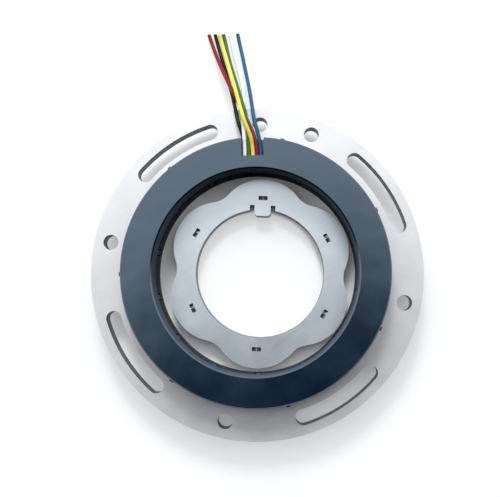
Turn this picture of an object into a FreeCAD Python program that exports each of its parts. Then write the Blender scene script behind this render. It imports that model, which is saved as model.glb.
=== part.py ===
import FreeCAD
import Part
import Sketcher
import math
import os

V = FreeCAD.Vector
XY = "XY_Plane"
XZ = "XZ_Plane"
YZ = "YZ_Plane"
UP = V(0, 0, 1)

# A frameless variable-reluctance resolver, in millimetres. The stator is one stack of laminations
# with a slotted mounting flange, 14 wound teeth, a plastic cover on each face and six flying leads.
# The lobed rotor stack lies loose in the bore, on the surface that the stator stands on, and a
# little off the stator's axis.
# The origin is on the axis, at the underside of the rear cover; +Z is the cover side in view.

SIZES = {
    # Radii run outwards from the bore, each as a step from the one before it.
    "bore_diameter": 72.6,
    "shoe_height": 1.8,
    "slot_depth": 6.9,
    "cover_seat": 2.5,
    "mount_offset": 6.5,
    "rim_width": 6.0,
    "stack_height": 6.0,
    # Direction of the flange's own axis of symmetry, which a pair of bolt holes straddles.
    "axis_angle": 45.0,
    "mount_hole_diameter": 5.5,
    "hole_pair_angle": 20.4,
    "mount_slot_count": 4,
    "mount_slot_width": 5.6,
    "mount_slot_angle": 30.5,
    "tooth_count": 14,
    "tooth_width": 8.0,
    "slot_opening": 2.5,
    # Windings and what insulates them.
    "insulator_height": 0.8,
    "insulator_gap": 0.2,
    "coil_gap": 0.3,
    "coil_build": 2.0,
    # Covers.
    "cover_step": 0.1,
    "cover_wall": 1.2,
    "cover_roof": 1.5,
    "rear_roof": 1.0,
    "cover_bevel": 0.5,
    "end_gap": 0.3,
    "finger_width": 1.7,
    "finger_short": 0.5,
    "rib_count": 7,
    "rib_width": 1.4,
    "rib_proud": 0.5,
    # Lead exit.
    "notch_width": 7.9,
    "notch_depth": 8.0,
    "notch_corner": 1.2,
    "block_gap": 0.05,
    "block_floor": 0.7,
    "block_wall": 1.5,
    "block_stem": 3.0,
    "lead_room": 3.4,
    "lead_diameter": 1.4,
    "pin_pitch": 1.4,
    "pin_side": 0.64,
    # Rotor.
    "air_gap": 1.7,
    "rotor_height": 6.0,
    "rotor_angle": 9.2,
    "rotor_shift": 1.2,
    "rotor_shift_angle": -40.0,
    "lobe_count": 6,
    "lobe_radius": 16.5,
    "valley_radius": 9.0,
    "rotor_bore_diameter": 47.0,
    "key_width": 6.0,
    "key_height": 2.4,
    "key_chamfer": 0.8,
    "relief_width": 1.7,
    "relief_depth": 1.5,
    "mark_circle": 55.4,
    "mark_length": 3.3,
    "mark_width": 1.5,
    "mark_depth": 1.3,
    "mark_ridge_depth": 0.3,
}

doc = FreeCAD.newDocument("resolver")
sheet = doc.addObject("Spreadsheet::Sheet", "sizes")
for row, (alias, size) in enumerate(SIZES.items(), start=1):
    sheet.set(f"A{row}", alias)
    sheet.set(f"B{row}", str(size))
    sheet.setAlias(f"B{row}", alias)
doc.recompute()

# Radii and levels that several pieces share, as expressions on the sheet.
BORE_R = "sizes.bore_diameter / 2"
SHOE_R = f"({BORE_R} + sizes.shoe_height)"
SLOT_R = f"({SHOE_R} + sizes.slot_depth)"
COVER_R = f"({SLOT_R} + sizes.cover_seat)"
MOUNT_R = f"({COVER_R} + sizes.mount_offset)"
FLANGE_R = f"({MOUNT_R} + sizes.rim_width)"
COVER_IN_R = f"({BORE_R} + sizes.cover_step)"
COVER_INNER_WALL_R = f"({COVER_IN_R} + sizes.cover_wall)"
COVER_OUTER_WALL_R = f"({COVER_R} - sizes.cover_wall)"
COIL_TOP = "(sizes.insulator_height + sizes.coil_gap + sizes.coil_build)"
ROOM_TOP = f"({COIL_TOP} + sizes.end_gap)"
REAR_H = f"({ROOM_TOP} + sizes.rear_roof)"
FLOOR_TOP = f"({ROOM_TOP} + sizes.block_floor)"
COVER_H = f"({FLOOR_TOP} + sizes.lead_room + sizes.cover_roof)"
STACK_TOP = f"({REAR_H} + sizes.stack_height)"
NOTCH_R = f"({COVER_R} - sizes.notch_depth)"
HALF_PITCH = "(180 / sizes.tooth_count)"
EXIT_ANGLE = f"(sizes.axis_angle + {HALF_PITCH})"
SAME_PLACE = 1e-6


def value(expression):
    return float(sheet.evalExpression(expression.replace("sizes.", "")))


def new_body(label, level="0", angle="0"):
    """A body of its own, raised to a level and turned about the object's axis."""
    body = doc.addObject("PartDesign::Body", label)
    body.Label = label
    body.Placement = FreeCAD.Placement(V(0, 0, 0), FreeCAD.Rotation(UP, 1))
    body.setExpression("Placement.Base.z", level)
    body.setExpression("Placement.Rotation.Angle", angle)
    return body


def new_sketch(body, label, plane=XY, offset="0"):
    sketch = body.newObject("Sketcher::SketchObject", label)
    support = [f for f in body.Origin.OriginFeatures if f.Role == plane][0]
    sketch.AttachmentSupport = [(support, "")]
    sketch.MapMode = "FlatFace"
    sketch.setExpression("AttachmentOffset.Base.z", offset)
    return sketch


def bind(sketch, constraint, label, expression):
    index = sketch.addConstraint(constraint)
    sketch.renameConstraint(index, label)
    sketch.setExpression(f"Constraints.{label}", expression)


def circle(sketch, diameter, label):
    """A circle about the sketch's origin."""
    index = sketch.addGeometry(Part.Circle(V(0, 0, 0), UP, value(diameter) / 2), False)
    sketch.addConstraint(Sketcher.Constraint("Coincident", index, 3, -1, 1))
    bind(sketch, Sketcher.Constraint("Diameter", index, value(diameter)), label, diameter)


def circle_at(sketch, radius, angle, diameter, label):
    """A circle whose centre lies at a radius and an angle from the sketch's origin."""
    reach = value(radius)
    turn = math.radians(value(angle))
    centre = V(reach * math.cos(turn), reach * math.sin(turn), 0)
    index = sketch.addGeometry(Part.Circle(centre, UP, value(diameter) / 2), False)
    spoke = sketch.addGeometry(Part.LineSegment(V(0, 0, 0), centre), True)
    sketch.addConstraint(Sketcher.Constraint("Coincident", spoke, 1, -1, 1))
    sketch.addConstraint(Sketcher.Constraint("Coincident", spoke, 2, index, 3))
    bind(sketch, Sketcher.Constraint("Diameter", index, value(diameter)), f"{label}_size", diameter)
    bind(sketch, Sketcher.Constraint("Distance", spoke, reach), f"{label}_reach", radius)
    bind(sketch, Sketcher.Constraint("Angle", spoke, turn), f"{label}_turn", f"({angle}) * 1 deg")


def outline(sketch, corners, label="corner"):
    """A closed outline of straight edges; each corner is a pair of expressions."""
    points = [V(value(x), value(y), 0) for x, y in corners]
    count = len(points)
    first = sketch.GeometryCount
    for i in range(count):
        sketch.addGeometry(Part.LineSegment(points[i], points[(i + 1) % count]), False)
    for i in range(count):
        following = first + (i + 1) % count
        sketch.addConstraint(Sketcher.Constraint("Coincident", first + i, 2, following, 1))
    for i, (x, y) in enumerate(corners):
        across = Sketcher.Constraint("DistanceX", -1, 1, first + i, 1, points[i].x)
        along = Sketcher.Constraint("DistanceY", -1, 1, first + i, 1, points[i].y)
        bind(sketch, across, f"{label}_{i}_x", x)
        bind(sketch, along, f"{label}_{i}_y", y)


def rectangle(sketch, x_low, x_high, y_low, y_high, label="side"):
    corners = [(x_low, y_low), (x_high, y_low), (x_high, y_high), (x_low, y_high)]
    outline(sketch, corners, label)


def feature(body, kind, label, sketch):
    item = body.newObject(f"PartDesign::{kind}", label)
    item.Profile = sketch
    return item


def pad(body, sketch, length, label, reverse=False):
    item = feature(body, "Pad", label, sketch)
    item.setExpression("Length", length)
    item.Reversed = reverse
    doc.recompute()
    return item


def pocket(body, sketch, label, length=None, reverse=False):
    """Cut a sketch out of the body: by a length, or right through both ways."""
    item = feature(body, "Pocket", label, sketch)
    if length is None:
        item.Type = "ThroughAll"
        item.Midplane = True
    else:
        item.setExpression("Length", length)
        item.Reversed = reverse
    doc.recompute()
    return item


def repeat(body, item, sketch, count, label):
    """Repeat a feature evenly about the body's axis."""
    pattern = body.newObject("PartDesign::PolarPattern", label)
    pattern.Originals = [item]
    pattern.Axis = (sketch, ["N_Axis"])
    pattern.Angle = 360
    pattern.setExpression("Occurrences", count)
    body.Tip = pattern
    doc.recompute()
    return pattern


def turn_outline(body, sketch, label):
    """Revolve a section about the body's axis."""
    item = feature(body, "Revolution", label, sketch)
    item.ReferenceAxis = (sketch, ["V_Axis"])
    item.Angle = 360
    doc.recompute()
    return item


def ring(body, inner, outer, height, label):
    sketch = new_sketch(body, f"{label}_sketch")
    circle(sketch, f"2 * {outer}", "outer")
    circle(sketch, f"2 * {inner}", "inner")
    return pad(body, sketch, height, label)


def tooth_gap_x(radius, half_width):
    """How far out, along a slot's middle, a tooth's flank lies at a distance from that middle."""
    return f"(({radius}) * cos({HALF_PITCH} * 1 deg) + ({half_width}) * sin({HALF_PITCH} * 1 deg))"


def tooth_gap_y(radius, half_width):
    return f"(({radius}) * sin({HALF_PITCH} * 1 deg) - ({half_width}) * cos({HALF_PITCH} * 1 deg))"


def winding_slots(body, label, start):
    """Cut the slots between the teeth; the first lies half a pitch from the body's +X."""
    half = "sizes.tooth_width / 2"
    sketch = new_sketch(body, f"{label}_sketch")
    in_x = tooth_gap_x(SHOE_R, half)
    in_y = tooth_gap_y(SHOE_R, half)
    out_x = tooth_gap_x(SLOT_R, half)
    out_y = tooth_gap_y(SLOT_R, half)
    mouth = "sizes.slot_opening / 2"
    corners = [
        (start, f"-({mouth})"),
        (in_x, f"-({mouth})"),
        (in_x, f"-{in_y}"),
        (out_x, f"-{out_y}"),
        (SLOT_R, "-sizes.slot_opening"),
        (SLOT_R, "sizes.slot_opening"),
        (out_x, out_y),
        (in_x, in_y),
        (in_x, mouth),
        (start, mouth),
    ]
    outline(sketch, corners)
    cut = pocket(body, sketch, label)
    return repeat(body, cut, sketch, "sizes.tooth_count", f"{label}_pattern")


def build_stator_core():
    """The lamination stack: flange, yoke and teeth are one outline, punched through."""
    body = new_body("stator_core", REAR_H, EXIT_ANGLE)
    ring(body, BORE_R, FLANGE_R, "sizes.stack_height", "stack")
    winding_slots(body, "winding_slot", f"{BORE_R} - sizes.shoe_height")
    mount_slots(body)
    mount_holes(body)
    return body


def mount_slots(body):
    """Curved slots for adjusting the stator's angle; the first is 45 degrees off the flange's axis."""
    sketch = new_sketch(body, "mount_slot_sketch")
    reach = value(MOUNT_R)
    half = value("sizes.mount_slot_width / 2")
    spread = math.radians(value("sizes.mount_slot_angle / 2"))
    middle = math.radians(value(f"180 / sizes.mount_slot_count - {HALF_PITCH}"))
    low = middle - spread
    high = middle + spread
    centre_low = V(reach * math.cos(low), reach * math.sin(low), 0)
    centre_high = V(reach * math.cos(high), reach * math.sin(high), 0)
    outer = Part.ArcOfCircle(Part.Circle(V(), UP, reach + half), low, high)
    head = Part.ArcOfCircle(Part.Circle(centre_high, UP, half), high, high + math.pi)
    inner = Part.ArcOfCircle(Part.Circle(V(), UP, reach - half), low, high)
    foot = Part.ArcOfCircle(Part.Circle(centre_low, UP, half), low + math.pi, low + 2 * math.pi)
    for arc in (outer, head, inner, foot):
        sketch.addGeometry(arc, False)
    spoke_high = sketch.addGeometry(Part.LineSegment(V(), centre_high), True)
    spoke_low = sketch.addGeometry(Part.LineSegment(V(), centre_low), True)
    for geometry, point in ((0, 3), (2, 3), (spoke_high, 1), (spoke_low, 1)):
        sketch.addConstraint(Sketcher.Constraint("Coincident", geometry, point, -1, 1))
    sketch.addConstraint(Sketcher.Constraint("Coincident", spoke_high, 2, 1, 3))
    sketch.addConstraint(Sketcher.Constraint("Coincident", spoke_low, 2, 3, 3))
    for a, a_end, b, b_end in ((0, 2, 1, 1), (1, 2, 2, 2), (2, 1, 3, 1), (3, 2, 0, 1)):
        sketch.addConstraint(Sketcher.Constraint("Tangent", a, a_end, b, b_end))
    first = f"(180 / sizes.mount_slot_count - {HALF_PITCH} - sizes.mount_slot_angle / 2) * 1 deg"
    last = f"(180 / sizes.mount_slot_count - {HALF_PITCH} + sizes.mount_slot_angle / 2) * 1 deg"
    bind(sketch, Sketcher.Constraint("Radius", 1, half), "half_width", "sizes.mount_slot_width / 2")
    bind(sketch, Sketcher.Constraint("Distance", spoke_high, reach), "reach", MOUNT_R)
    bind(sketch, Sketcher.Constraint("Angle", spoke_low, low), "first_end", first)
    bind(sketch, Sketcher.Constraint("Angle", spoke_high, high), "last_end", last)
    cut = pocket(body, sketch, "mount_slot")
    repeat(body, cut, sketch, "sizes.mount_slot_count", "mount_slot_pattern")


def mount_holes(body):
    """A pair of bolt holes astride the flange's axis, and one midway between each two other slots."""
    sketch = new_sketch(body, "mount_hole_sketch")
    pair = [f"-{HALF_PITCH} - sizes.hole_pair_angle / 2", f"-{HALF_PITCH} + sizes.hole_pair_angle / 2"]
    slots = int(value("sizes.mount_slot_count"))
    single = [f"{k} * 360 / sizes.mount_slot_count - {HALF_PITCH}" for k in range(1, slots)]
    for k, angle in enumerate(pair + single):
        circle_at(sketch, MOUNT_R, angle, "sizes.mount_hole_diameter", f"hole_{k}")
    pocket(body, sketch, "mount_hole")


def build_insulator(label, level):
    """The slotted plate that keeps the coils off one face of the stack."""
    body = new_body(label, level, EXIT_ANGLE)
    inner = f"({COVER_INNER_WALL_R} + sizes.insulator_gap)"
    outer = f"({COVER_OUTER_WALL_R} - sizes.insulator_gap)"
    ring(body, inner, outer, "sizes.insulator_height", f"{label}_plate")
    winding_slots(body, f"{label}_slot", f"{BORE_R} - sizes.shoe_height")
    return body


def build_coil(index):
    """One tooth's winding: a band round the tooth and both insulators."""
    label = f"coil_{index + 1:02d}"
    angle = f"sizes.axis_angle + {index} * 360 / sizes.tooth_count"
    body = new_body(label, f"{REAR_H} + sizes.stack_height / 2", angle)
    inner_y = "(sizes.tooth_width / 2 + sizes.coil_gap)"
    inner_z = "(sizes.stack_height / 2 + sizes.insulator_height + sizes.coil_gap)"
    outer_y = f"({inner_y} + sizes.coil_build)"
    outer_z = f"({inner_z} + sizes.coil_build)"
    start = f"({COVER_INNER_WALL_R} + sizes.coil_gap + sizes.insulator_height)"
    sketch = new_sketch(body, f"{label}_sketch", YZ, start)
    rectangle(sketch, f"-{outer_y}", outer_y, f"-{outer_z}", outer_z, "outer")
    rectangle(sketch, f"-{inner_y}", inner_y, f"-{inner_z}", inner_z, "inner")
    band = pad(body, sketch, f"{SLOT_R} - {start} - sizes.insulator_height", f"{label}_band")
    # Wire bends round a tooth: the outer corners are rounded by most of the build.
    round_edges(body, band, {"y": outer_y, "z": outer_z}, "0.6 * sizes.coil_build", f"{label}_round")
    return body


def round_edges(body, base, corner, radius, label):
    """Round the edges whose middles have the given coordinates, on either side of each axis."""
    places = {axis: value(place) for axis, place in corner.items()}
    names = []
    for number, edge in enumerate(base.Shape.Edges, start=1):
        middle = edge.CenterOfMass
        if all(abs(abs(getattr(middle, axis)) - place) < SAME_PLACE for axis, place in places.items()):
            names.append(f"Edge{number}")
    item = body.newObject("PartDesign::Fillet", label)
    item.Base = (base, names)
    item.setExpression("Radius", radius)
    body.Tip = item
    doc.recompute()


def channel(body, height, roof, label):
    """The open channel that covers the end turns: two walls and a roof with bevelled rims."""
    section = new_sketch(body, f"{label}_section", XZ)
    bevel = "sizes.cover_bevel"
    corners = [
        (COVER_IN_R, "0"),
        (COVER_IN_R, f"{height} - {bevel}"),
        (f"{COVER_IN_R} + {bevel}", height),
        (f"{COVER_R} - {bevel}", height),
        (COVER_R, f"{height} - {bevel}"),
        (COVER_R, "0"),
        (COVER_OUTER_WALL_R, "0"),
        (COVER_OUTER_WALL_R, f"{height} - {roof}"),
        (COVER_INNER_WALL_R, f"{height} - {roof}"),
        (COVER_INNER_WALL_R, "0"),
    ]
    outline(section, corners)
    turn_outline(body, section, label)


def add_fingers(body):
    """Fingers on the inner wall close the slot mouths between the pole shoes."""
    sketch = new_sketch(body, "finger_sketch")
    half = "sizes.finger_width / 2"
    inner = f"({COVER_IN_R} + sizes.cover_step)"
    rectangle(sketch, inner, f"{inner} + sizes.cover_wall / 2", f"-({half})", half)
    finger = pad(body, sketch, "sizes.stack_height - sizes.finger_short", "finger", reverse=True)
    repeat(body, finger, sketch, "sizes.tooth_count", "finger_pattern")


def add_ribs(body):
    """Small upright ribs round the outside, one at every second tooth."""
    sketch = new_sketch(body, "rib_sketch")
    root = f"({COVER_R} - sizes.cover_wall / 2)"
    half = "sizes.rib_width / 2"
    turned = f"({HALF_PITCH} * 1 deg)"
    corners = []
    for reach, side in ((root, "-"), (f"({COVER_R} + sizes.rib_proud)", "-"),
                        (f"({COVER_R} + sizes.rib_proud)", ""), (root, "")):
        corners.append((f"{reach} * cos{turned} + ({side}{half}) * sin{turned}",
                        f"-{reach} * sin{turned} + ({side}{half}) * cos{turned}"))
    outline(sketch, corners)
    rib = pad(body, sketch, f"{COVER_H} - 2 * sizes.cover_bevel", "rib")
    repeat(body, rib, sketch, "sizes.rib_count", "rib_pattern")


def cut_notch(body):
    """The leads leave through a notch in the roof and the top of the outer wall."""
    sketch = new_sketch(body, "notch_sketch", XY, COVER_H)
    half = "sizes.notch_width / 2"
    rectangle(sketch, NOTCH_R, f"{COVER_R} + sizes.cover_seat", f"-({half})", half)
    notch = pocket(body, sketch, "notch", f"{COVER_H} - {ROOM_TOP}")
    round_edges(body, notch, {"x": NOTCH_R, "y": half}, "sizes.notch_corner", "notch_round")


def build_front_cover():
    body = new_body("front_cover", STACK_TOP, EXIT_ANGLE)
    channel(body, COVER_H, "sizes.cover_roof", "front_channel")
    add_fingers(body)
    add_ribs(body)
    cut_notch(body)
    return body


def build_rear_cover():
    """The same channel, shallower and facing down: it is what the stator stands on."""
    body = new_body("rear_cover", REAR_H, "0")
    body.Placement = FreeCAD.Placement(V(0, 0, 0), FreeCAD.Rotation(V(1, 0, 0), 180))
    body.setExpression("Placement.Rotation.Angle", "180")
    channel(body, REAR_H, "sizes.rear_roof", "rear_channel")
    return body


def build_lead_block():
    """The terminal block in the notch: a floor on the outer wall, a wall, and a stem between coils."""
    body = new_body("lead_block", STACK_TOP, EXIT_ANGLE)
    half = "(sizes.notch_width / 2 - sizes.block_gap)"
    back = f"({NOTCH_R} + sizes.block_gap)"
    floor_sketch = new_sketch(body, "floor_sketch", XY, ROOM_TOP)
    rectangle(floor_sketch, back, COVER_R, f"-{half}", half)
    pad(body, floor_sketch, "sizes.block_floor", "block_floor_plate")
    wall_sketch = new_sketch(body, "wall_sketch", XY, FLOOR_TOP)
    rectangle(wall_sketch, back, f"{back} + sizes.block_wall - sizes.block_gap", f"-{half}", half)
    wall = pad(body, wall_sketch, f"{COVER_H} - {FLOOR_TOP} - sizes.cover_bevel", "block_wall_plate")
    round_edges(body, wall, {"x": back, "y": half}, "sizes.notch_corner - sizes.block_gap", "block_round")
    stem_sketch = new_sketch(body, "stem_sketch", XY, "sizes.insulator_height")
    stem_half = "sizes.block_stem / 2"
    stem_start = f"({back} + sizes.block_wall)"
    rectangle(stem_sketch, stem_start, f"{SLOT_R} - sizes.end_gap", f"-({stem_half})", stem_half)
    pad(body, stem_sketch, f"{ROOM_TOP} - sizes.insulator_height", "block_stem_post")
    return body


def build_terminal_pin(index):
    """A square pin from the block's wall towards the bore, where a winding's end is wrapped."""
    label = f"terminal_pin_{index + 1}"
    body = new_body(label, STACK_TOP, EXIT_ANGLE)
    lane = f"(({LEAD_COUNT - 1} / 2 - {index}) * sizes.pin_pitch)"
    half = "sizes.pin_side / 2"
    back = f"({NOTCH_R} + sizes.block_gap)"
    start = f"({COVER_INNER_WALL_R} + sizes.end_gap)"
    middle = f"({FLOOR_TOP} + sizes.lead_room / 2)"
    sketch = new_sketch(body, f"{label}_sketch", YZ, start)
    rectangle(sketch, f"{lane} - {half}", f"{lane} + {half}", f"{middle} - {half}", f"{middle} + {half}")
    pad(body, sketch, f"{back} - {start}", f"{label}_bar")
    return body


def build_rotor_core():
    """Six lobes, each a large arc, blended by hollow arcs; a keyed bore; interlock marks on top."""
    body = new_body("rotor_core", "0", "sizes.axis_angle + sizes.rotor_angle")
    body.setExpression("Placement.Base.x", "sizes.rotor_shift * cos(sizes.rotor_shift_angle * 1 deg)")
    body.setExpression("Placement.Base.y", "sizes.rotor_shift * sin(sizes.rotor_shift_angle * 1 deg)")
    lobe_sketch = new_sketch(body, "lobe_sketch")
    draw_lobes(lobe_sketch)
    pad(body, lobe_sketch, "sizes.rotor_height", "lobes")
    cut_keyed_bore(body)
    mark_sketch = new_sketch(body, "mark_sketch", YZ, "(sizes.mark_circle + sizes.mark_width) / 2")
    half = "sizes.mark_length / 2"
    top = "sizes.rotor_height"
    deep = f"{top} - sizes.mark_depth"
    ridge = ("0 * sizes.mark_length", f"{top} - sizes.mark_ridge_depth")
    outline(mark_sketch, [(f"-({half})", top), (f"-({half})", deep), ridge, (half, deep), (half, top)])
    mark = pocket(body, mark_sketch, "mark", "sizes.mark_width")
    repeat(body, mark, lobe_sketch, "sizes.lobe_count", "mark_pattern")
    return body


def draw_lobes(sketch):
    """The rotor's outline: a lobe arc on each spoke, a hollow arc between each two, all tangent."""
    count = int(value("sizes.lobe_count"))
    lobe = value("sizes.lobe_radius")
    valley = value("sizes.valley_radius")
    half = math.pi / count
    reach = value(f"{BORE_R} - sizes.air_gap - sizes.lobe_radius")
    rise = reach * math.sin(half)
    # The valley's centre lies where the two arcs' centres are both radii apart.
    far = reach * math.cos(half) + math.sqrt((lobe + valley) ** 2 - rise ** 2)
    lean = math.atan2(rise, far - reach * math.cos(half))
    spokes = []
    for k in range(count):
        turn = 2 * k * half
        centre = V(reach * math.cos(turn), reach * math.sin(turn), 0)
        hollow = V(far * math.cos(turn + half), far * math.sin(turn + half), 0)
        facing = turn + half + math.pi
        lobe_circle = Part.Circle(centre, UP, lobe)
        valley_circle = Part.Circle(hollow, UP, valley)
        lobe_arc = Part.ArcOfCircle(lobe_circle, turn - half - lean, turn + half + lean)
        valley_arc = Part.ArcOfCircle(valley_circle, facing - lean, facing + lean)
        sketch.addGeometry(lobe_arc, False)
        sketch.addGeometry(valley_arc, False)
        spokes.append((turn, centre))
    for k, (turn, centre) in enumerate(spokes):
        spoke = sketch.addGeometry(Part.LineSegment(V(), centre), True)
        sketch.addConstraint(Sketcher.Constraint("Coincident", spoke, 1, -1, 1))
        sketch.addConstraint(Sketcher.Constraint("Coincident", spoke, 2, 2 * k, 3))
        following = (2 * k + 2) % (2 * count)
        sketch.addConstraint(Sketcher.Constraint("Tangent", 2 * k, 2, 2 * k + 1, 2))
        sketch.addConstraint(Sketcher.Constraint("Tangent", 2 * k + 1, 1, following, 1))
        bind(sketch, Sketcher.Constraint("Radius", 2 * k, lobe), f"lobe_{k}", "sizes.lobe_radius")
        bind(sketch, Sketcher.Constraint("Radius", 2 * k + 1, valley), f"valley_{k}", "sizes.valley_radius")
        away = f"{BORE_R} - sizes.air_gap - sizes.lobe_radius"
        bind(sketch, Sketcher.Constraint("Distance", spoke, reach), f"reach_{k}", away)
        angle = f"({k} * 360 / sizes.lobe_count) * 1 deg"
        bind(sketch, Sketcher.Constraint("Angle", spoke, turn), f"turn_{k}", angle)


def cut_keyed_bore(body):
    """The bore has one key tab, with a relief notch in each corner at the tab's root."""
    bore_sketch = new_sketch(body, "bore_sketch")
    circle(bore_sketch, "sizes.rotor_bore_diameter", "bore")
    pocket(body, bore_sketch, "bore")
    key_sketch = new_sketch(body, "key_sketch")
    half = "(sizes.key_width / 2)"
    bore = "sizes.rotor_bore_diameter / 2"
    inner = f"({bore} - sizes.key_height)"
    root = f"{bore} + sizes.relief_depth"
    shoulder = f"{inner} + sizes.key_chamfer"
    nose = f"({half} - sizes.key_chamfer)"
    outline(key_sketch, [(root, f"-{half}"), (root, half), (shoulder, half),
                         (inner, nose), (inner, f"-{nose}"), (shoulder, f"-{half}")])
    pad(body, key_sketch, "sizes.rotor_height", "key")
    for side, low, high in (("left", half, f"{half} + sizes.relief_width"),
                            ("right", f"-({half} + sizes.relief_width)", f"-{half}")):
        relief_sketch = new_sketch(body, f"{side}_relief_sketch")
        rectangle(relief_sketch, inner, root, low, high)
        pocket(body, relief_sketch, f"{side}_relief")


# Each lead's route, by hand: millimetres out along the exit, to its left, and above the surface.
LEAD_ROUTES = {
    "lead_black": [(41.0, 2.96, 15.22), (44.0, 2.96, 15.22), (48.4, 3.3, 15.2), (54.0, 5.3, 15.9),
                   (60.4, 6.4, 16.1), (67.2, 7.9, 13.6), (74.4, 9.7, 8.7), (81.2, 11.6, 3.8),
                   (86.8, 13.1, 1.1), (91.9, 14.3, 0.8)],
    "lead_white": [(41.0, 2.96, 16.7), (44.0, 2.96, 16.7), (48.6, 3.0, 16.9), (54.4, 3.4, 16.1),
                   (60.7, 2.9, 14.3), (67.2, 3.3, 10.9), (74.4, 4.8, 6.1), (81.2, 6.2, 2.3),
                   (86.8, 7.6, 0.8), (91.9, 8.6, 0.8)],
    "lead_green": [(41.0, 1.48, 16.6), (44.0, 1.48, 16.6), (48.4, 1.5, 16.1), (54.2, 1.95, 17.2),
                   (60.5, 3.2, 16.4), (67.2, 4.8, 13.0), (74.4, 6.7, 7.8), (81.2, 8.5, 3.2),
                   (86.8, 9.8, 0.8), (91.9, 10.9, 0.8)],
    "lead_yellow": [(41.0, 0.0, 16.7), (44.0, 0.0, 16.7), (48.4, 0.7, 18.1), (53.2, 2.8, 19.3),
                    (59.5, 4.4, 18.3), (66.4, 6.1, 15.1), (74.0, 8.1, 9.6), (81.2, 9.9, 4.3),
                    (86.8, 11.4, 1.2), (91.9, 12.6, 0.8)],
    "lead_red": [(41.0, -1.48, 16.7), (44.0, -1.48, 16.7), (48.4, -0.6, 16.4), (53.8, 1.5, 14.9),
                 (60.2, 4.6, 12.7), (67.2, 8.0, 9.9), (74.4, 10.9, 6.0), (81.2, 13.2, 2.5),
                 (86.8, 15.1, 0.8), (91.9, 16.7, 0.8)],
    "lead_blue": [(41.0, -2.96, 16.7), (44.0, -2.96, 16.7), (48.6, -2.1, 16.8), (54.4, -0.6, 16.2),
                  (60.7, 0.2, 14.4), (67.2, 1.1, 10.8), (74.4, 2.4, 6.2), (81.2, 3.6, 2.4),
                  (86.8, 4.7, 0.8), (91.9, 5.7, 0.8)],
}
LEAD_COUNT = len(LEAD_ROUTES)
ARC_SHARE = 0.45


def rounded_path(points):
    """Straight runs joined by tangent arcs, each as large as its two runs allow."""
    edges = []
    radii = []
    start = points[0]
    for before, corner, after in zip(points, points[1:], points[2:]):
        to_before = before - corner
        to_after = after - corner
        turn = math.pi - to_before.getAngle(to_after)
        reach = ARC_SHARE * min(to_before.Length, to_after.Length)
        radius = reach / math.tan(turn / 2)
        to_before.normalize()
        to_after.normalize()
        first = corner + to_before * reach
        last = corner + to_after * reach
        inward = to_before + to_after
        inward.normalize()
        to_centre = math.hypot(radius, reach)
        middle = corner + inward * (to_centre - radius)
        edges.append(Part.LineSegment(start, first).toShape())
        edges.append(Part.Arc(first, middle, last).toShape())
        radii.append(radius)
        start = last
    edges.append(Part.LineSegment(start, points[-1]).toShape())
    return Part.Wire(edges), radii


def build_lead(label, route):
    """A flying lead: a plain round tube along its route."""
    turned = FreeCAD.Rotation(UP, value(EXIT_ANGLE))
    points = [turned.multVec(V(*point)) for point in route]
    path, radii = rounded_path(points)
    radius = value("sizes.lead_diameter / 2")
    first_run = points[1] - points[0]
    profile = Part.Wire([Part.Circle(points[0], first_run, radius).toShape()])
    tube = path.makePipeShell([profile], True, False)
    expected = math.pi * radius ** 2 * path.Length
    if abs(tube.Volume - expected) > 0.01 * expected:
        raise RuntimeError(f"{label}: volume {tube.Volume:.2f}, expected {expected:.2f}")
    item = doc.addObject("Part::Feature", label)
    item.Label = label
    item.Shape = tube
    rounded = ", ".join(f"{r:.1f}" for r in radii)
    print(f"{label}: length {path.Length:.1f} mm, bend radii {rounded} mm")
    return item


pieces = [build_stator_core(), build_rotor_core()]
pieces.append(build_insulator("front_insulator", STACK_TOP))
pieces.append(build_insulator("rear_insulator", f"{REAR_H} - sizes.insulator_height"))
pieces += [build_coil(k) for k in range(int(value("sizes.tooth_count")))]
pieces += [build_front_cover(), build_rear_cover(), build_lead_block()]
pieces += [build_terminal_pin(k) for k in range(LEAD_COUNT)]
pieces += [build_lead(label, route) for label, route in LEAD_ROUTES.items()]
doc.recompute()

for item in doc.Objects:
    faults = [state for state in item.State if state in ("Invalid", "Error")]
    if faults:
        raise RuntimeError(f"{item.Name}: {faults}")
for piece in pieces:
    if piece.Shape.isNull() or not piece.Shape.isValid() or len(piece.Shape.Solids) != 1:
        raise RuntimeError(f"{piece.Label}: not one valid solid")

os.makedirs("parts", exist_ok=True)
for piece in pieces:
    piece.Shape.exportStep(f"parts/{piece.Label}.step")
    print(f"{piece.Label}: {piece.Shape.Volume:.1f} mm3")
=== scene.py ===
import math

import bpy
from mathutils import Euler, Matrix, Vector


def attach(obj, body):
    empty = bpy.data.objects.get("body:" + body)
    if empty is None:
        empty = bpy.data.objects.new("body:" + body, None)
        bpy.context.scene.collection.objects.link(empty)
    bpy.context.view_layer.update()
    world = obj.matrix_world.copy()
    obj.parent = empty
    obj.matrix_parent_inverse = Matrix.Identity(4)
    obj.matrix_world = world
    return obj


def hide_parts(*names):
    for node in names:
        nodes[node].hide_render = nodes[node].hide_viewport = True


# A frameless resolver as photographed: the wound stator lies on a white surface, six leads leave its
# cover towards the top of the picture, and the loose rotor lies inside the bore. Metres throughout.

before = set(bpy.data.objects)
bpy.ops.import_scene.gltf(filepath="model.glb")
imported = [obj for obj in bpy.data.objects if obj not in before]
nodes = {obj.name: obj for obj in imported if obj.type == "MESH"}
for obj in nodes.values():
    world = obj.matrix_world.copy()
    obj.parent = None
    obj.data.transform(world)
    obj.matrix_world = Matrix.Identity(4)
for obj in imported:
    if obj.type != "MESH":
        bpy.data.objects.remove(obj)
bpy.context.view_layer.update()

MM = 0.001

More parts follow.
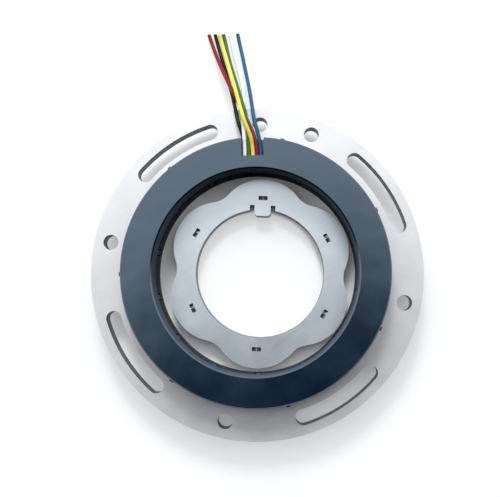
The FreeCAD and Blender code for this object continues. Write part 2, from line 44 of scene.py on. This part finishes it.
# Camera: fitted to the flange, covers, holes and bore of the photograph.
CAMERA_AT = Vector((3.8, -14.3, 272.9)) * MM
CAMERA_TURN = Euler((math.radians(4.68), math.radians(2.13), math.radians(-33.28)))
SENSOR = 36.0
LENS = 52.5
SHIFT = (-0.019, -0.017)
NEAREST_SEEN = 0.01

# Room light: bright towards the photograph's top and sides, falling off to a dark zone overhead
# and below, where the photographer stands. The bright side is an angle in the photograph.
BRIGHT_SIDE = 95
ROOM_WRAP = 2.0
ROOM_WRAP_LIMIT = 0.15
ROOM_SPAN = (-0.03, 0.22)
ROOM_LEVELS = (0.0, 1.65)
ROOM_COLOUR = (0.95, 0.975, 1, 1)

# Key lamp, on the bright side.
KEY_DISTANCE = 0.55
KEY_HEIGHT = 0.5
KEY_SIZE = 0.2
KEY_ENERGY = 3.6

# Leads: the exit lies half a tooth's pitch from the flange's own axis. The route points are
# millimetres out along the exit, to its left, and up. They follow the part's own leads, with some
# moved so that the leads cross as photographed.
FLANGE_AXIS = 45
TOOTH_COUNT = 14
EXIT_ANGLE = math.radians(FLANGE_AXIS + 180 / TOOTH_COUNT)
LEAD_DIAMETER = 1.4 * MM
LEAD_ROUTES = {
    "black": [(41.0, 2.96, 15.22), (44.0, 2.96, 15.22), (48.4, 3.3, 15.2), (54.0, 5.3, 15.2),
              (60.4, 6.4, 12.9), (67.2, 7.9, 9.6), (74.4, 9.7, 5.3), (81.2, 11.6, 1.9),
              (86.8, 13.1, 0.8), (91.9, 14.3, 0.8)],
    "white": [(41.0, 2.96, 16.7), (44.0, 2.96, 16.7), (48.6, 3.0, 16.9), (54.4, 3.4, 16.2),
              (60.7, 2.9, 14.4), (67.2, 3.3, 11.1), (74.4, 4.8, 6.1), (81.2, 6.2, 2.3),
              (86.8, 7.6, 0.8), (91.9, 8.6, 0.8)],
    "green": [(41.0, 1.48, 16.6), (44.0, 1.48, 16.6), (48.4, 1.5, 16.1), (54.2, 1.95, 17.2),
              (60.5, 3.4, 16.3), (67.2, 5.3, 12.8), (74.4, 7.2, 7.5), (81.2, 9.0, 2.9),
              (86.8, 10.0, 0.8), (91.9, 11.1, 0.8)],
    "yellow": [(41.0, 0.0, 16.7), (44.0, 0.0, 16.7), (48.4, 0.7, 18.1), (53.2, 2.8, 19.3),
               (59.5, 4.4, 18.3), (66.4, 6.1, 15.1), (74.0, 8.1, 9.6), (81.2, 9.9, 4.3),
               (86.8, 11.4, 1.2), (91.9, 12.6, 0.8)],
    "red": [(41.0, -1.48, 16.7), (44.0, -1.48, 16.7), (48.4, -0.6, 16.4), (53.8, 1.5, 14.5),
            (60.2, 4.4, 13.2), (67.2, 7.7, 12.0), (74.4, 10.7, 8.0), (81.2, 13.2, 3.2),
            (86.8, 15.1, 0.9), (91.9, 16.7, 0.8)],
    "blue": [(41.0, -2.96, 16.7), (44.0, -2.96, 16.7), (48.6, -2.1, 16.8), (54.4, -0.6, 16.2),
             (60.7, 0.2, 14.4), (67.2, 1.1, 10.8), (74.4, 2.4, 6.2), (81.2, 3.6, 2.4),
             (86.8, 4.7, 0.8), (91.9, 5.7, 0.8)],
}
LEAD_COLOURS = {
    "black": (0.005, 0.005, 0.006),
    "white": (0.84, 0.84, 0.85),
    "green": (0.045, 0.14, 0.02),
    "yellow": (0.76, 0.64, 0.10),
    "red": (0.23, 0.006, 0.010),
    "blue": (0.010, 0.095, 0.18),
}
HANDLED_SHADE = 0.82

# Floor: a sheet just under the object, and how much of it shows plain white: inside the rotor's
# bore and outside the flange, round the rotor, and through the flange's slots. Outside the flange the
# glow keeps the floor white; in the bore and through the slots it is painted light over their shade,
# and round the rotor it is faint, so that gap keeps its shade.
FLOOR_HALF = 3.0
FLOOR_DROP = 0.02 * MM
FLOOR_COLOUR = (0.92, 0.92, 0.93, 1)
FLOOR_GLOW = 0.5
GAP_GLOW = 0.06
SLOT_GLOW = 0.22
OPEN_RADIUS = 22.5 * MM
GAP_RADIUS = 37 * MM
STATOR_RADIUS = 60 * MM
FLOOR_FADE = 1.5 * MM

# Textures: the range that most of a noise lies in, and the upward share of a normal that parts
# the walls from the level faces and bevels.
NOISE_LOW = 0.3
NOISE_HIGH = 0.7
WALL_SLOPES = (0.3, 0.6)

# Waves: a wave texture repeats every pi / 10 divided by its scale, so the lines on the stack's
# walls are about three sheets apart, and the rings on the windings about six tenths of a wire.
SHEET_THICKNESS = 0.35 * MM
SHEET_WAVE = 0.1
WIRE_DIAMETER = 0.3 * MM
WIRE_WAVE = 0.5

# Steel: the rolling grain's stretch and its share of the tone, and the near-black painted shade in the
# bore.
GRAIN_STRETCH = (60, 1400, 60)
STEEL_GRAIN_SHARE = 0.35
STEEL_SWING = 0.05
BORE_SHADE_RADIUS = 37.7 * MM
BORE_SHADE_FADE = 0.3 * MM
BORE_SHADE_COLOUR = (0.010, 0.012, 0.016, 1)

# Painted shade on the steel's walls and in the hollows of the rotor's interlock marks, with the walls'
# metallic and roughness, and the covers' moulding.
PAINTED_SHADE_COLOUR = (0.17, 0.172, 0.18, 1)
CUT_METALLIC = 0.6
CUT_ROUGHNESS = 0.5
MARK_RADII = (26.4 * MM, 29.0 * MM)
MARK_HEIGHTS = (3.6 * MM, 5.55 * MM)
MARK_FADE = 0.1 * MM
WALL_ROUGHNESS = 1.0
SINK_DEPTH = 0.22 * MM
SHEEN_TINT = (0.66, 0.83, 1.0, 1.0)


class Material:
    """A material's node tree with a Principled shader and short calls for the usual nodes."""

    def __init__(self, name):
        self.data = bpy.data.materials.new(name)
        self.data.use_nodes = True
        self.nodes = self.data.node_tree.nodes
        self.links = self.data.node_tree.links
        self.shader = self.nodes["Principled BSDF"]
        coordinates = self.add("ShaderNodeTexCoord")
        self.place = coordinates.outputs["Object"]
        self.normal = coordinates.outputs["Normal"]

    def add(self, kind, **settings):
        node = self.nodes.new(kind)
        for key, setting in settings.items():
            setattr(node, key, setting)
        return node

    def set(self, **values):
        """Sets the shader's own sockets, named with underscores for spaces."""
        for key, value in values.items():
            socket = self.shader.inputs[key.replace("_", " ")]
            socket.default_value = value

    def link(self, source, target):
        self.links.new(source, target)

    def feed(self, source, name):
        """Links a texture to one of the shader's sockets."""
        self.link(source, self.shader.inputs[name])

    def scaled(self, scale, turn=0.0):
        mapping = self.add("ShaderNodeMapping")
        mapping.inputs["Scale"].default_value = scale
        mapping.inputs["Rotation"].default_value = (0, 0, turn)
        self.link(self.place, mapping.inputs["Vector"])
        return mapping.outputs["Vector"]

    def noise(self, vector, scale, detail, roughness):
        node = self.add("ShaderNodeTexNoise")
        node.inputs["Scale"].default_value = scale
        node.inputs["Detail"].default_value = detail
        node.inputs["Roughness"].default_value = roughness
        self.link(vector, node.inputs["Vector"])
        return node.outputs["Fac"]

    def wave(self, scale, **settings):
        node = self.add("ShaderNodeTexWave", wave_profile="SIN", **settings)
        node.inputs["Scale"].default_value = scale
        self.link(self.place, node.inputs["Vector"])
        return node.outputs["Fac"]

    def spread(self, source, low, high, from_low=NOISE_LOW, from_high=NOISE_HIGH):
        """Maps a texture's middle range onto low..high."""
        node = self.add("ShaderNodeMapRange")
        self.link(source, node.inputs["Value"])
        node.inputs["From Min"].default_value = from_low
        node.inputs["From Max"].default_value = from_high
        node.inputs["To Min"].default_value = low
        node.inputs["To Max"].default_value = high
        return node.outputs["Result"]

    def ramp(self, source, dark, light, start=NOISE_LOW, end=NOISE_HIGH):
        """Runs from a dark colour to a light one over a texture's middle range."""
        node = self.add("ShaderNodeValToRGB")
        first, last = node.color_ramp.elements
        first.position = start
        first.color = (*dark, 1)
        last.position = end
        last.color = (*light, 1)
        self.link(source, node.inputs["Fac"])
        return node.outputs["Color"]

    def mix(self, factor, first, second, kind="FLOAT"):
        """Mixes two values or colours; each may be a socket or a plain number or colour."""
        node = self.add("ShaderNodeMix", data_type=kind)
        sockets = [socket for socket in node.inputs if socket.enabled]
        for socket, source in zip(sockets, (factor, first, second)):
            if isinstance(source, bpy.types.NodeSocket):
                self.link(source, socket)
            else:
                socket.default_value = source
        return next(socket for socket in node.outputs if socket.enabled)

    def without(self, wide, narrow):
        """The wide mask where the narrow one doesn't hold."""
        return self.mix(narrow, wide, 0.0)

    def inside_radius(self, radius, fade):
        """1 nearer the object's axis than a radius, 0 beyond the fade, by the object's own place."""
        flat = self.add("ShaderNodeVectorMath", operation="MULTIPLY")
        flat.inputs[1].default_value = (1, 1, 0)
        self.link(self.place, flat.inputs[0])
        reach = self.add("ShaderNodeVectorMath", operation="LENGTH")
        self.link(flat.outputs["Vector"], reach.inputs[0])
        return self.spread(reach.outputs["Value"], 1.0, 0.0, radius, radius + fade)

    def upright(self):
        """1 on the walls, 0 on the level faces and bevels, by the object's own normal."""
        facing = self.add("ShaderNodeVectorMath", operation="DOT_PRODUCT")
        facing.inputs[1].default_value = (0, 0, 1)
        self.link(self.normal, facing.inputs[0])
        level = self.add("ShaderNodeMath", operation="ABSOLUTE")
        self.link(facing.outputs["Value"], level.inputs[0])
        return self.spread(level.outputs["Value"], 1.0, 0.0, *WALL_SLOPES)

    def height_below(self, top, fade):
        """1 lower than a height, 0 above the fade, by the object's own place."""
        parts = self.add("ShaderNodeSeparateXYZ")
        self.link(self.place, parts.inputs["Vector"])
        return self.spread(parts.outputs["Z"], 1.0, 0.0, top, top + fade)

    def joined(self, operation, first, second):
        node = self.add("ShaderNodeMath", operation=operation)
        self.link(first, node.inputs[0])
        self.link(second, node.inputs[1])
        return node.outputs["Value"]

    def times(self, first, second):
        return self.joined("MULTIPLY", first, second)

    def highest(self, first, second):
        return self.joined("MAXIMUM", first, second)

    def bump(self, height, strength, distance, normal=None):
        node = self.add("ShaderNodeBump")
        node.inputs["Strength"].default_value = strength
        node.inputs["Distance"].default_value = distance
        self.link(height, node.inputs["Height"])
        if normal is not None:
            self.link(normal, node.inputs["Normal"])
        return node.outputs["Normal"]


def mark_hollows(steel):
    """1 in the hollows of the interlock marks, between two radii and two heights."""
    inner_radius, outer_radius = MARK_RADII
    floor, top = MARK_HEIGHTS
    ring = steel.without(steel.inside_radius(outer_radius, MARK_FADE),
                         steel.inside_radius(inner_radius, MARK_FADE))
    depth = steel.without(steel.height_below(top, MARK_FADE), steel.height_below(floor, MARK_FADE))
    return steel.times(ring, depth)


def rolled_steel(name, dark, light, roughness, metallic, grain_turn=0.0, bore_shade_radius=0.0,
                 marked=False):
    """Stamped electrical steel: rolling grain on the faces, painted shade on the walls, which carry
    lamination lines, near-black painted shade nearer the axis than the given radius, and painted shade
    in the hollows where it is marked."""
    steel = Material(name)
    steel.set(IOR=1.5)
    blotch = steel.noise(steel.place, scale=90, detail=4, roughness=0.55)
    grain = steel.noise(steel.scaled(GRAIN_STRETCH, grain_turn), scale=1.0, detail=5, roughness=0.65)
    tone = steel.mix(STEEL_GRAIN_SHARE, blotch, grain)
    wall = steel.upright()
    # Nearer the axis than the given radius the steel gets near-black painted shade, no metal and the
    # walls' roughness.
    bore_shade = steel.inside_radius(bore_shade_radius, BORE_SHADE_FADE)

    # The walls, and the marks' hollows where it is marked, get painted shade.
    steel_with_shade = steel.mix(wall, steel.ramp(tone, dark, light), PAINTED_SHADE_COLOUR, "RGBA")
    if marked:
        steel_with_shade = steel.mix(mark_hollows(steel), steel_with_shade, PAINTED_SHADE_COLOUR, "RGBA")
    steel.feed(steel.mix(bore_shade, steel_with_shade, BORE_SHADE_COLOUR, "RGBA"), "Base Color")

    metal = steel.mix(wall, metallic, CUT_METALLIC)
    steel.feed(steel.mix(bore_shade, metal, 0.0), "Metallic")

    rough = steel.spread(tone, roughness - STEEL_SWING, roughness + STEEL_SWING)
    worn = steel.mix(wall, rough, CUT_ROUGHNESS)
    steel.feed(steel.mix(bore_shade, worn, WALL_ROUGHNESS), "Roughness")

    sheets = steel.wave(SHEET_WAVE / SHEET_THICKNESS, wave_type="BANDS", bands_direction="Z")
    lines = steel.bump(sheets, strength=0.35, distance=0.05 * MM)
    steel.feed(steel.bump(grain, strength=0.08, distance=0.02 * MM, normal=lines), "Normal")
    return steel.data


def moulded_plastic(name, dark, light, roughness):
    """Glass-filled moulding: flow marks and slight sink marks, fine grain, a sheen on the level
    faces and dull walls."""
    plastic = Material(name)
    plastic.set(Specular_IOR_Level=1.0, IOR=1.65, Specular_Tint=SHEEN_TINT)
    flow = plastic.noise(plastic.place, scale=60, detail=5, roughness=0.6)
    sink = plastic.noise(plastic.place, scale=50, detail=2, roughness=0.4)
    grain = plastic.noise(plastic.place, scale=2600, detail=2, roughness=0.5)
    smoothest = roughness - 0.04
    roughest = roughness + 0.05
    rough = plastic.spread(flow, smoothest, roughest)
    plastic.feed(plastic.ramp(flow, dark, light), "Base Color")
    plastic.feed(plastic.mix(plastic.upright(), rough, WALL_ROUGHNESS), "Roughness")
    sunk = plastic.bump(sink, strength=1.0, distance=SINK_DEPTH)
    plastic.feed(plastic.bump(grain, strength=0.08, distance=0.03 * MM, normal=sunk), "Normal")
    return plastic.data


def wound_wire(name):
    """Enamelled copper wire, laid side by side round a tooth, with painted shade between the turns."""
    wire = Material(name)
    wire.set(Metallic=0.7, Roughness=0.35)
    turns = wire.wave(WIRE_WAVE / WIRE_DIAMETER, wave_type="RINGS", rings_direction="Z")
    # The colour follows the turns' bump: painted shade in the grooves, the copper's own colour on the
    # crowns.
    colour = wire.ramp(turns, dark=(0.22, 0.07, 0.02), light=(0.55, 0.22, 0.07), start=0.2, end=0.8)
    wire.feed(colour, "Base Color")
    wire.feed(wire.bump(turns, strength=0.6, distance=0.1 * MM), "Normal")
    return wire.data


def lead_insulation(name, colour):
    """Extruded insulation: nearly even colour, a soft gloss and slight handling marks."""
    skin = Material(name)
    skin.set(Specular_IOR_Level=0.15)
    marks = skin.noise(skin.place, scale=500, detail=4, roughness=0.6)
    handled = tuple(HANDLED_SHADE * part for part in colour)
    skin.feed(skin.ramp(marks, dark=handled, light=colour, end=0.65), "Base Color")
    skin.feed(skin.spread(marks, low=0.28, high=0.42), "Roughness")
    skin.feed(skin.bump(marks, strength=0.1, distance=0.02 * MM), "Normal")
    return skin.data


def dress(node, material):
    for slot in node.material_slots:
        slot.material = material


stator_steel = rolled_steel("stator_steel", dark=(0.62, 0.62, 0.63), light=(0.71, 0.71, 0.72),
                            roughness=0.32, metallic=0.45, grain_turn=0.3,
                            bore_shade_radius=BORE_SHADE_RADIUS)
rotor_steel = rolled_steel("rotor_steel", dark=(0.56, 0.61, 0.66), light=(0.67, 0.72, 0.77),
                           roughness=0.33, metallic=0.85, grain_turn=1.1, marked=True)
pin_metal = rolled_steel("pin_metal", dark=(0.55, 0.52, 0.45), light=(0.75, 0.72, 0.64),
                         roughness=0.3, metallic=0.9)
cover_plastic = moulded_plastic("cover_plastic", dark=(0.002, 0.008, 0.019),
                                light=(0.004, 0.013, 0.028), roughness=0.17)
insulator_plastic = moulded_plastic("insulator_plastic", dark=(0.012, 0.014, 0.018),
                                    light=(0.02, 0.023, 0.03), roughness=0.5)
winding_wire = wound_wire("winding_wire")

dress(nodes["stator_core"], stator_steel)
dress(nodes["rotor_core"], rotor_steel)
for label in ("front_cover", "rear_cover", "lead_block"):
    dress(nodes[label], cover_plastic)
for label in ("front_insulator", "rear_insulator"):
    dress(nodes[label], insulator_plastic)
for label, node in nodes.items():
    if label.startswith("coil_"):
        dress(node, winding_wire)
    if label.startswith("terminal_pin_"):
        dress(node, pin_metal)


def build_lead(colour_name):
    """One flying lead as a smooth tube along its route; it stands for the plain CAD tube."""
    curve = bpy.data.curves.new(f"wire_{colour_name}", "CURVE")
    curve.dimensions = "3D"
    turned = Matrix.Rotation(EXIT_ANGLE, 3, "Z")
    points = [turned @ (Vector(point) * MM) for point in LEAD_ROUTES[colour_name]]
    spline = curve.splines.new("NURBS")
    spline.points.add(len(points) - 1)
    for target, point in zip(spline.points, points):
        target.co = (*point, 1)
    spline.order_u = 3
    spline.use_endpoint_u = True
    spline.resolution_u = 12
    curve.bevel_depth = LEAD_DIAMETER / 2
    curve.bevel_resolution = 6
    curve.use_fill_caps = True
    lead = bpy.data.objects.new(f"wire_{colour_name}", curve)
    bpy.context.scene.collection.objects.link(lead)
    curve.materials.append(lead_insulation(f"insulation_{colour_name}", LEAD_COLOURS[colour_name]))
    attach(lead, "stator")
    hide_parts(f"lead_{colour_name}")


for colour_name in LEAD_ROUTES:
    build_lead(colour_name)


# Surroundings: a white floor that keeps the object's shadow, the room's light and one key lamp.
def build_floor():
    mesh = bpy.data.meshes.new("floor")
    signs = [(-1, -1), (1, -1), (1, 1), (-1, 1)]
    corners = [(x * FLOOR_HALF, y * FLOOR_HALF, -FLOOR_DROP) for x, y in signs]
    mesh.from_pydata(corners, [], [(0, 1, 2, 3)])
    floor = bpy.data.objects.new("floor", mesh)
    bpy.context.scene.collection.objects.link(floor)
    paper = Material("floor_paper")
    paper.set(Roughness=0.9, Specular_IOR_Level=0.1, Base_Color=FLOOR_COLOUR)
    seen = paper.add("ShaderNodeLightPath")
    glow = paper.add("ShaderNodeEmission")
    glow.inputs["Color"].default_value = (1, 1, 1, 1)
    direct = paper.highest(seen.outputs["Is Camera Ray"], seen.outputs["Is Glossy Ray"])
    paper.link(paper.highest(direct, seen.outputs["Is Transmission Ray"]), glow.inputs["Strength"])
    both = paper.add("ShaderNodeMixShader")
    under_stator = paper.inside_radius(STATOR_RADIUS, FLOOR_FADE)
    in_bore = paper.inside_radius(OPEN_RADIUS, FLOOR_FADE)
    in_gap = paper.inside_radius(GAP_RADIUS, FLOOR_FADE)
    # Painted light: full glow in the bore and outside, less through the slots, faint round the rotor.
    beyond = paper.mix(under_stator, FLOOR_GLOW, SLOT_GLOW)
    around_rotor = paper.mix(in_gap, beyond, GAP_GLOW)
    paper.link(paper.mix(in_bore, around_rotor, FLOOR_GLOW), both.inputs["Fac"])
    paper.link(paper.shader.outputs["BSDF"], both.inputs[1])
    paper.link(glow.outputs["Emission"], both.inputs[2])
    output = paper.nodes["Material Output"]
    paper.link(both.outputs["Shader"], output.inputs["Surface"])
    mesh.materials.append(paper.data)


def picture_direction(angle, distance, height):
    """A place given by its angle in the photograph, anticlockwise from the right."""
    turn = math.radians(angle) + CAMERA_TURN.z
    return (distance * math.cos(turn), distance * math.sin(turn), height)


def build_key():
    """A square lamp on the bright side, aimed at the middle of the object."""
    light = bpy.data.lights.new("key", "AREA")
    light.shape = "SQUARE"
    light.size = KEY_SIZE
    light.energy = KEY_ENERGY
    lamp = bpy.data.objects.new("key", light)
    lamp.location = picture_direction(BRIGHT_SIDE, KEY_DISTANCE, KEY_HEIGHT)
    lamp.rotation_euler = (-lamp.location).to_track_quat("-Z", "Y").to_euler()
    bpy.context.scene.collection.objects.link(lamp)


def build_room():
    """Room light that falls off evenly from the bright side of the photograph to the dark one. The
    camera itself sees plain white."""
    world = bpy.data.worlds.new("room")
    world.use_nodes = True
    tree = world.node_tree
    place = tree.nodes.new("ShaderNodeTexCoord")

    def share_of(direction):
        node = tree.nodes.new("ShaderNodeVectorMath")
        node.operation = "DOT_PRODUCT"
        node.inputs[1].default_value = direction
        tree.links.new(place.outputs["Generated"], node.inputs[0])
        return node.outputs["Value"]

    def joined(operation, first, second):
        node = tree.nodes.new("ShaderNodeMath")
        node.operation = operation
        tree.links.new(first, node.inputs[0])
        if isinstance(second, bpy.types.NodeSocket):
            tree.links.new(second, node.inputs[1])
        else:
            node.inputs[1].default_value = second
        return node.outputs["Value"]

    toward = share_of(picture_direction(BRIGHT_SIDE, 1.0, 0.0))
    across = share_of(picture_direction(BRIGHT_SIDE - 90, math.sqrt(ROOM_WRAP), 0.0))
    wrap = joined("MINIMUM", joined("MULTIPLY", across, across), ROOM_WRAP_LIMIT)
    fall = tree.nodes.new("ShaderNodeMapRange")
    fall.interpolation_type = "SMOOTHSTEP"
    fall.inputs["From Min"].default_value, fall.inputs["From Max"].default_value = ROOM_SPAN
    fall.inputs["To Min"].default_value, fall.inputs["To Max"].default_value = ROOM_LEVELS
    tree.links.new(joined("ADD", toward, wrap), fall.inputs["Value"])

    # A mix node's float sockets are its inputs 0, 2 and 3.
    seen = tree.nodes.new("ShaderNodeLightPath")
    level = tree.nodes.new("ShaderNodeMix")
    tree.links.new(seen.outputs["Is Camera Ray"], level.inputs[0])
    tree.links.new(fall.outputs["Result"], level.inputs[2])
    level.inputs[3].default_value = 1.0
    background = tree.nodes["Background"]
    background.inputs["Color"].default_value = ROOM_COLOUR
    tree.links.new(level.outputs[0], background.inputs["Strength"])
    bpy.context.scene.world = world


def build_camera():
    lens = bpy.data.cameras.new("camera")
    lens.sensor_width = SENSOR
    lens.lens = LENS
    lens.shift_x, lens.shift_y = SHIFT
    lens.clip_start = NEAREST_SEEN
    camera = bpy.data.objects.new("camera", lens)
    camera.location = CAMERA_AT
    camera.rotation_euler = CAMERA_TURN
    bpy.context.scene.collection.objects.link(camera)
    bpy.context.scene.camera = camera


build_floor()
build_room()
build_key()
build_camera()
bpy.context.scene.view_settings.view_transform = "Standard"
